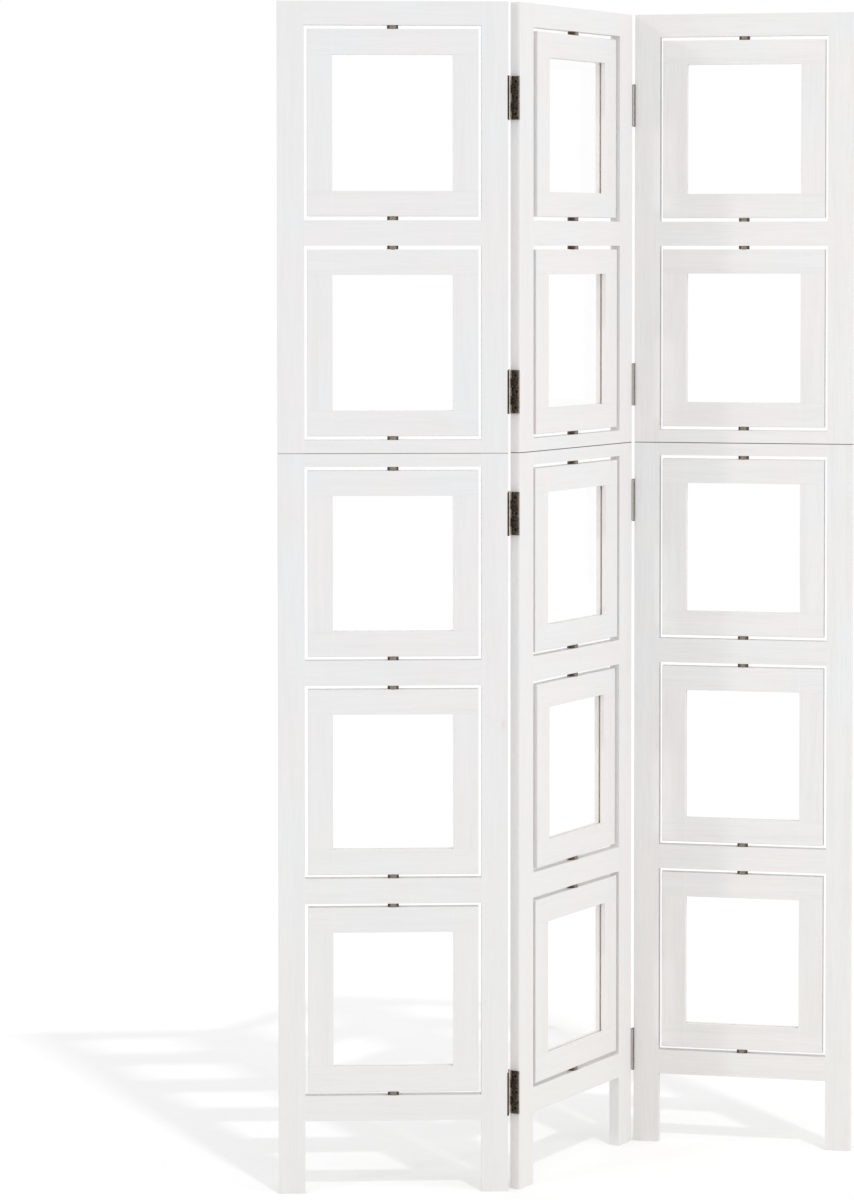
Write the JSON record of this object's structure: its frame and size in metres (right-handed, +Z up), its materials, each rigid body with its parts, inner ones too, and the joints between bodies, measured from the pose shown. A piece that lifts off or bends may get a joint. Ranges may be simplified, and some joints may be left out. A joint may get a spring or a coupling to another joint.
{
  "type": "photo frame room divider",
  "caption": "Folding zigzag screen whose hinged wooden panels carry photo frames that each turn about a vertical line on two pivot pins.",
  "frame": {"origin": "on the floor, under the middle of the whole divider's bounding box", "axes": "+Z up; +X along the left panel, from its free edge towards its hinges; the front faces -Y"},
  "size_m": [0.8544, 0.298, 1.7],
  "materials": {
    "white_paint": "white paint with a low sheen over a faint grain",
    "bare_wood": "bare beech dowel",
    "dark_bronze": "dark antique bronze",
    "clear_acrylic": "clear acrylic sheet"
  },
  "bodies": {
    "middle_panel": {"middle_upper_left_stile": "white_paint", "middle_upper_right_stile": "white_paint", "middle_lower_left_stile": "white_paint", "middle_lower_right_stile": "white_paint", "middle_rails": "white_paint", "middle_dowels": "bare_wood", "middle_frame_pivots": "dark_bronze", "middle_hinge_screws": "dark_bronze", "left_seam_middle_leaves": "dark_bronze", "left_seam_hinge_pins": "dark_bronze", "right_seam_middle_leaves": "dark_bronze", "right_seam_hinge_pins": "dark_bronze"},
    "left_panel": {"left_upper_left_stile": "white_paint", "left_upper_right_stile": "white_paint", "left_lower_left_stile": "white_paint", "left_lower_right_stile": "white_paint", "left_rails": "white_paint", "left_dowels": "bare_wood", "left_frame_pivots": "dark_bronze", "left_hinge_screws": "dark_bronze", "left_seam_left_leaves": "dark_bronze"},
    "right_panel": {"right_upper_left_stile": "white_paint", "right_upper_right_stile": "white_paint", "right_lower_left_stile": "white_paint", "right_lower_right_stile": "white_paint", "right_rails": "white_paint", "right_dowels": "bare_wood", "right_frame_pivots": "dark_bronze", "right_hinge_screws": "dark_bronze", "right_seam_right_leaves": "dark_bronze"},
    "left_photo_frame_1": {"left_frame_1": "white_paint", "left_panes_1": "clear_acrylic"},
    "left_photo_frame_2": {"left_frame_2": "white_paint", "left_panes_2": "clear_acrylic"},
    "left_photo_frame_3": {"left_frame_3": "white_paint", "left_panes_3": "clear_acrylic"},
    "left_photo_frame_4": {"left_frame_4": "white_paint", "left_panes_4": "clear_acrylic"},
    "left_photo_frame_5": {"left_frame_5": "white_paint", "left_panes_5": "clear_acrylic"},
    "middle_photo_frame_1": {"middle_frame_1": "white_paint", "middle_panes_1": "clear_acrylic"},
    "middle_photo_frame_2": {"middle_frame_2": "white_paint", "middle_panes_2": "clear_acrylic"},
    "middle_photo_frame_3": {"middle_frame_3": "white_paint", "middle_panes_3": "clear_acrylic"},
    "middle_photo_frame_4": {"middle_frame_4": "white_paint", "middle_panes_4": "clear_acrylic"},
    "middle_photo_frame_5": {"middle_frame_5": "white_paint", "middle_panes_5": "clear_acrylic"},
    "right_photo_frame_1": {"right_frame_1": "white_paint", "right_panes_1": "clear_acrylic"},
    "right_photo_frame_2": {"right_frame_2": "white_paint", "right_panes_2": "clear_acrylic"},
    "right_photo_frame_3": {"right_frame_3": "white_paint", "right_panes_3": "clear_acrylic"},
    "right_photo_frame_4": {"right_frame_4": "white_paint", "right_panes_4": "clear_acrylic"},
    "right_photo_frame_5": {"right_frame_5": "white_paint", "right_panes_5": "clear_acrylic"}
  },
  "joints": [
    {"name": "left_fold", "type": "hinge", "parent": "middle_panel", "child": "left_panel", "pos_m": [-0.09778, -0.13116, 0.85], "axis": [0, 0, -1], "range_deg": [-56, 123]},
    {"name": "right_fold", "type": "hinge", "parent": "middle_panel", "child": "right_panel", "pos_m": [0.10345, 0.13213, 0.85], "axis": [0, 0, -1], "range_deg": [-70, 109]},
    {"name": "left_frame_1_turn", "type": "hinge", "parent": "left_panel", "child": "left_photo_frame_1", "pos_m": [-0.26318, -0.14096, 1.528], "axis": [0, 0, 1], "continuous": true},
    {"name": "left_frame_2_turn", "type": "hinge", "parent": "left_panel", "child": "left_photo_frame_2", "pos_m": [-0.26318, -0.14096, 1.216], "axis": [0, 0, 1], "continuous": true},
    {"name": "left_frame_3_turn", "type": "hinge", "parent": "left_panel", "child": "left_photo_frame_3", "pos_m": [-0.26318, -0.14096, 0.902], "axis": [0, 0, 1], "continuous": true},
    {"name": "left_frame_4_turn", "type": "hinge", "parent": "left_panel", "child": "left_photo_frame_4", "pos_m": [-0.26318, -0.14096, 0.59], "axis": [0, 0, 1], "continuous": true},
    {"name": "left_frame_5_turn", "type": "hinge", "parent": "left_panel", "child": "left_photo_frame_5", "pos_m": [-0.26318, -0.14096, 0.278], "axis": [0, 0, 1], "continuous": true},
    {"name": "middle_frame_1_turn", "type": "hinge", "parent": "middle_panel", "child": "middle_photo_frame_1", "pos_m": [0.00284, 0.00048, 1.528], "axis": [0, 0, 1], "continuous": true},
    {"name": "middle_frame_2_turn", "type": "hinge", "parent": "middle_panel", "child": "middle_photo_frame_2", "pos_m": [0.00284, 0.00048, 1.216], "axis": [0, 0, 1], "continuous": true},
    {"name": "middle_frame_3_turn", "type": "hinge", "parent": "middle_panel", "child": "middle_photo_frame_3", "pos_m": [0.00284, 0.00048, 0.902], "axis": [0, 0, 1], "continuous": true},
    {"name": "middle_frame_4_turn", "type": "hinge", "parent": "middle_panel", "child": "middle_photo_frame_4", "pos_m": [0.00284, 0.00048, 0.59], "axis": [0, 0, 1], "continuous": true},
    {"name": "middle_frame_5_turn", "type": "hinge", "parent": "middle_panel", "child": "middle_photo_frame_5", "pos_m": [0.00284, 0.00048, 0.278], "axis": [0, 0, 1], "continuous": true},
    {"name": "right_frame_1_turn", "type": "hinge", "parent": "right_panel", "child": "right_photo_frame_1", "pos_m": [0.26631, 0.10162, 1.528], "axis": [0, 0, 1], "continuous": true},
    {"name": "right_frame_2_turn", "type": "hinge", "parent": "right_panel", "child": "right_photo_frame_2", "pos_m": [0.26631, 0.10162, 1.216], "axis": [0, 0, 1], "continuous": true},
    {"name": "right_frame_3_turn", "type": "hinge", "parent": "right_panel", "child": "right_photo_frame_3", "pos_m": [0.26631, 0.10162, 0.902], "axis": [0, 0, 1], "continuous": true},
    {"name": "right_frame_4_turn", "type": "hinge", "parent": "right_panel", "child": "right_photo_frame_4", "pos_m": [0.26631, 0.10162, 0.59], "axis": [0, 0, 1], "continuous": true},
    {"name": "right_frame_5_turn", "type": "hinge", "parent": "right_panel", "child": "right_photo_frame_5", "pos_m": [0.26631, 0.10162, 0.278], "axis": [0, 0, 1], "continuous": true}
  ]
}
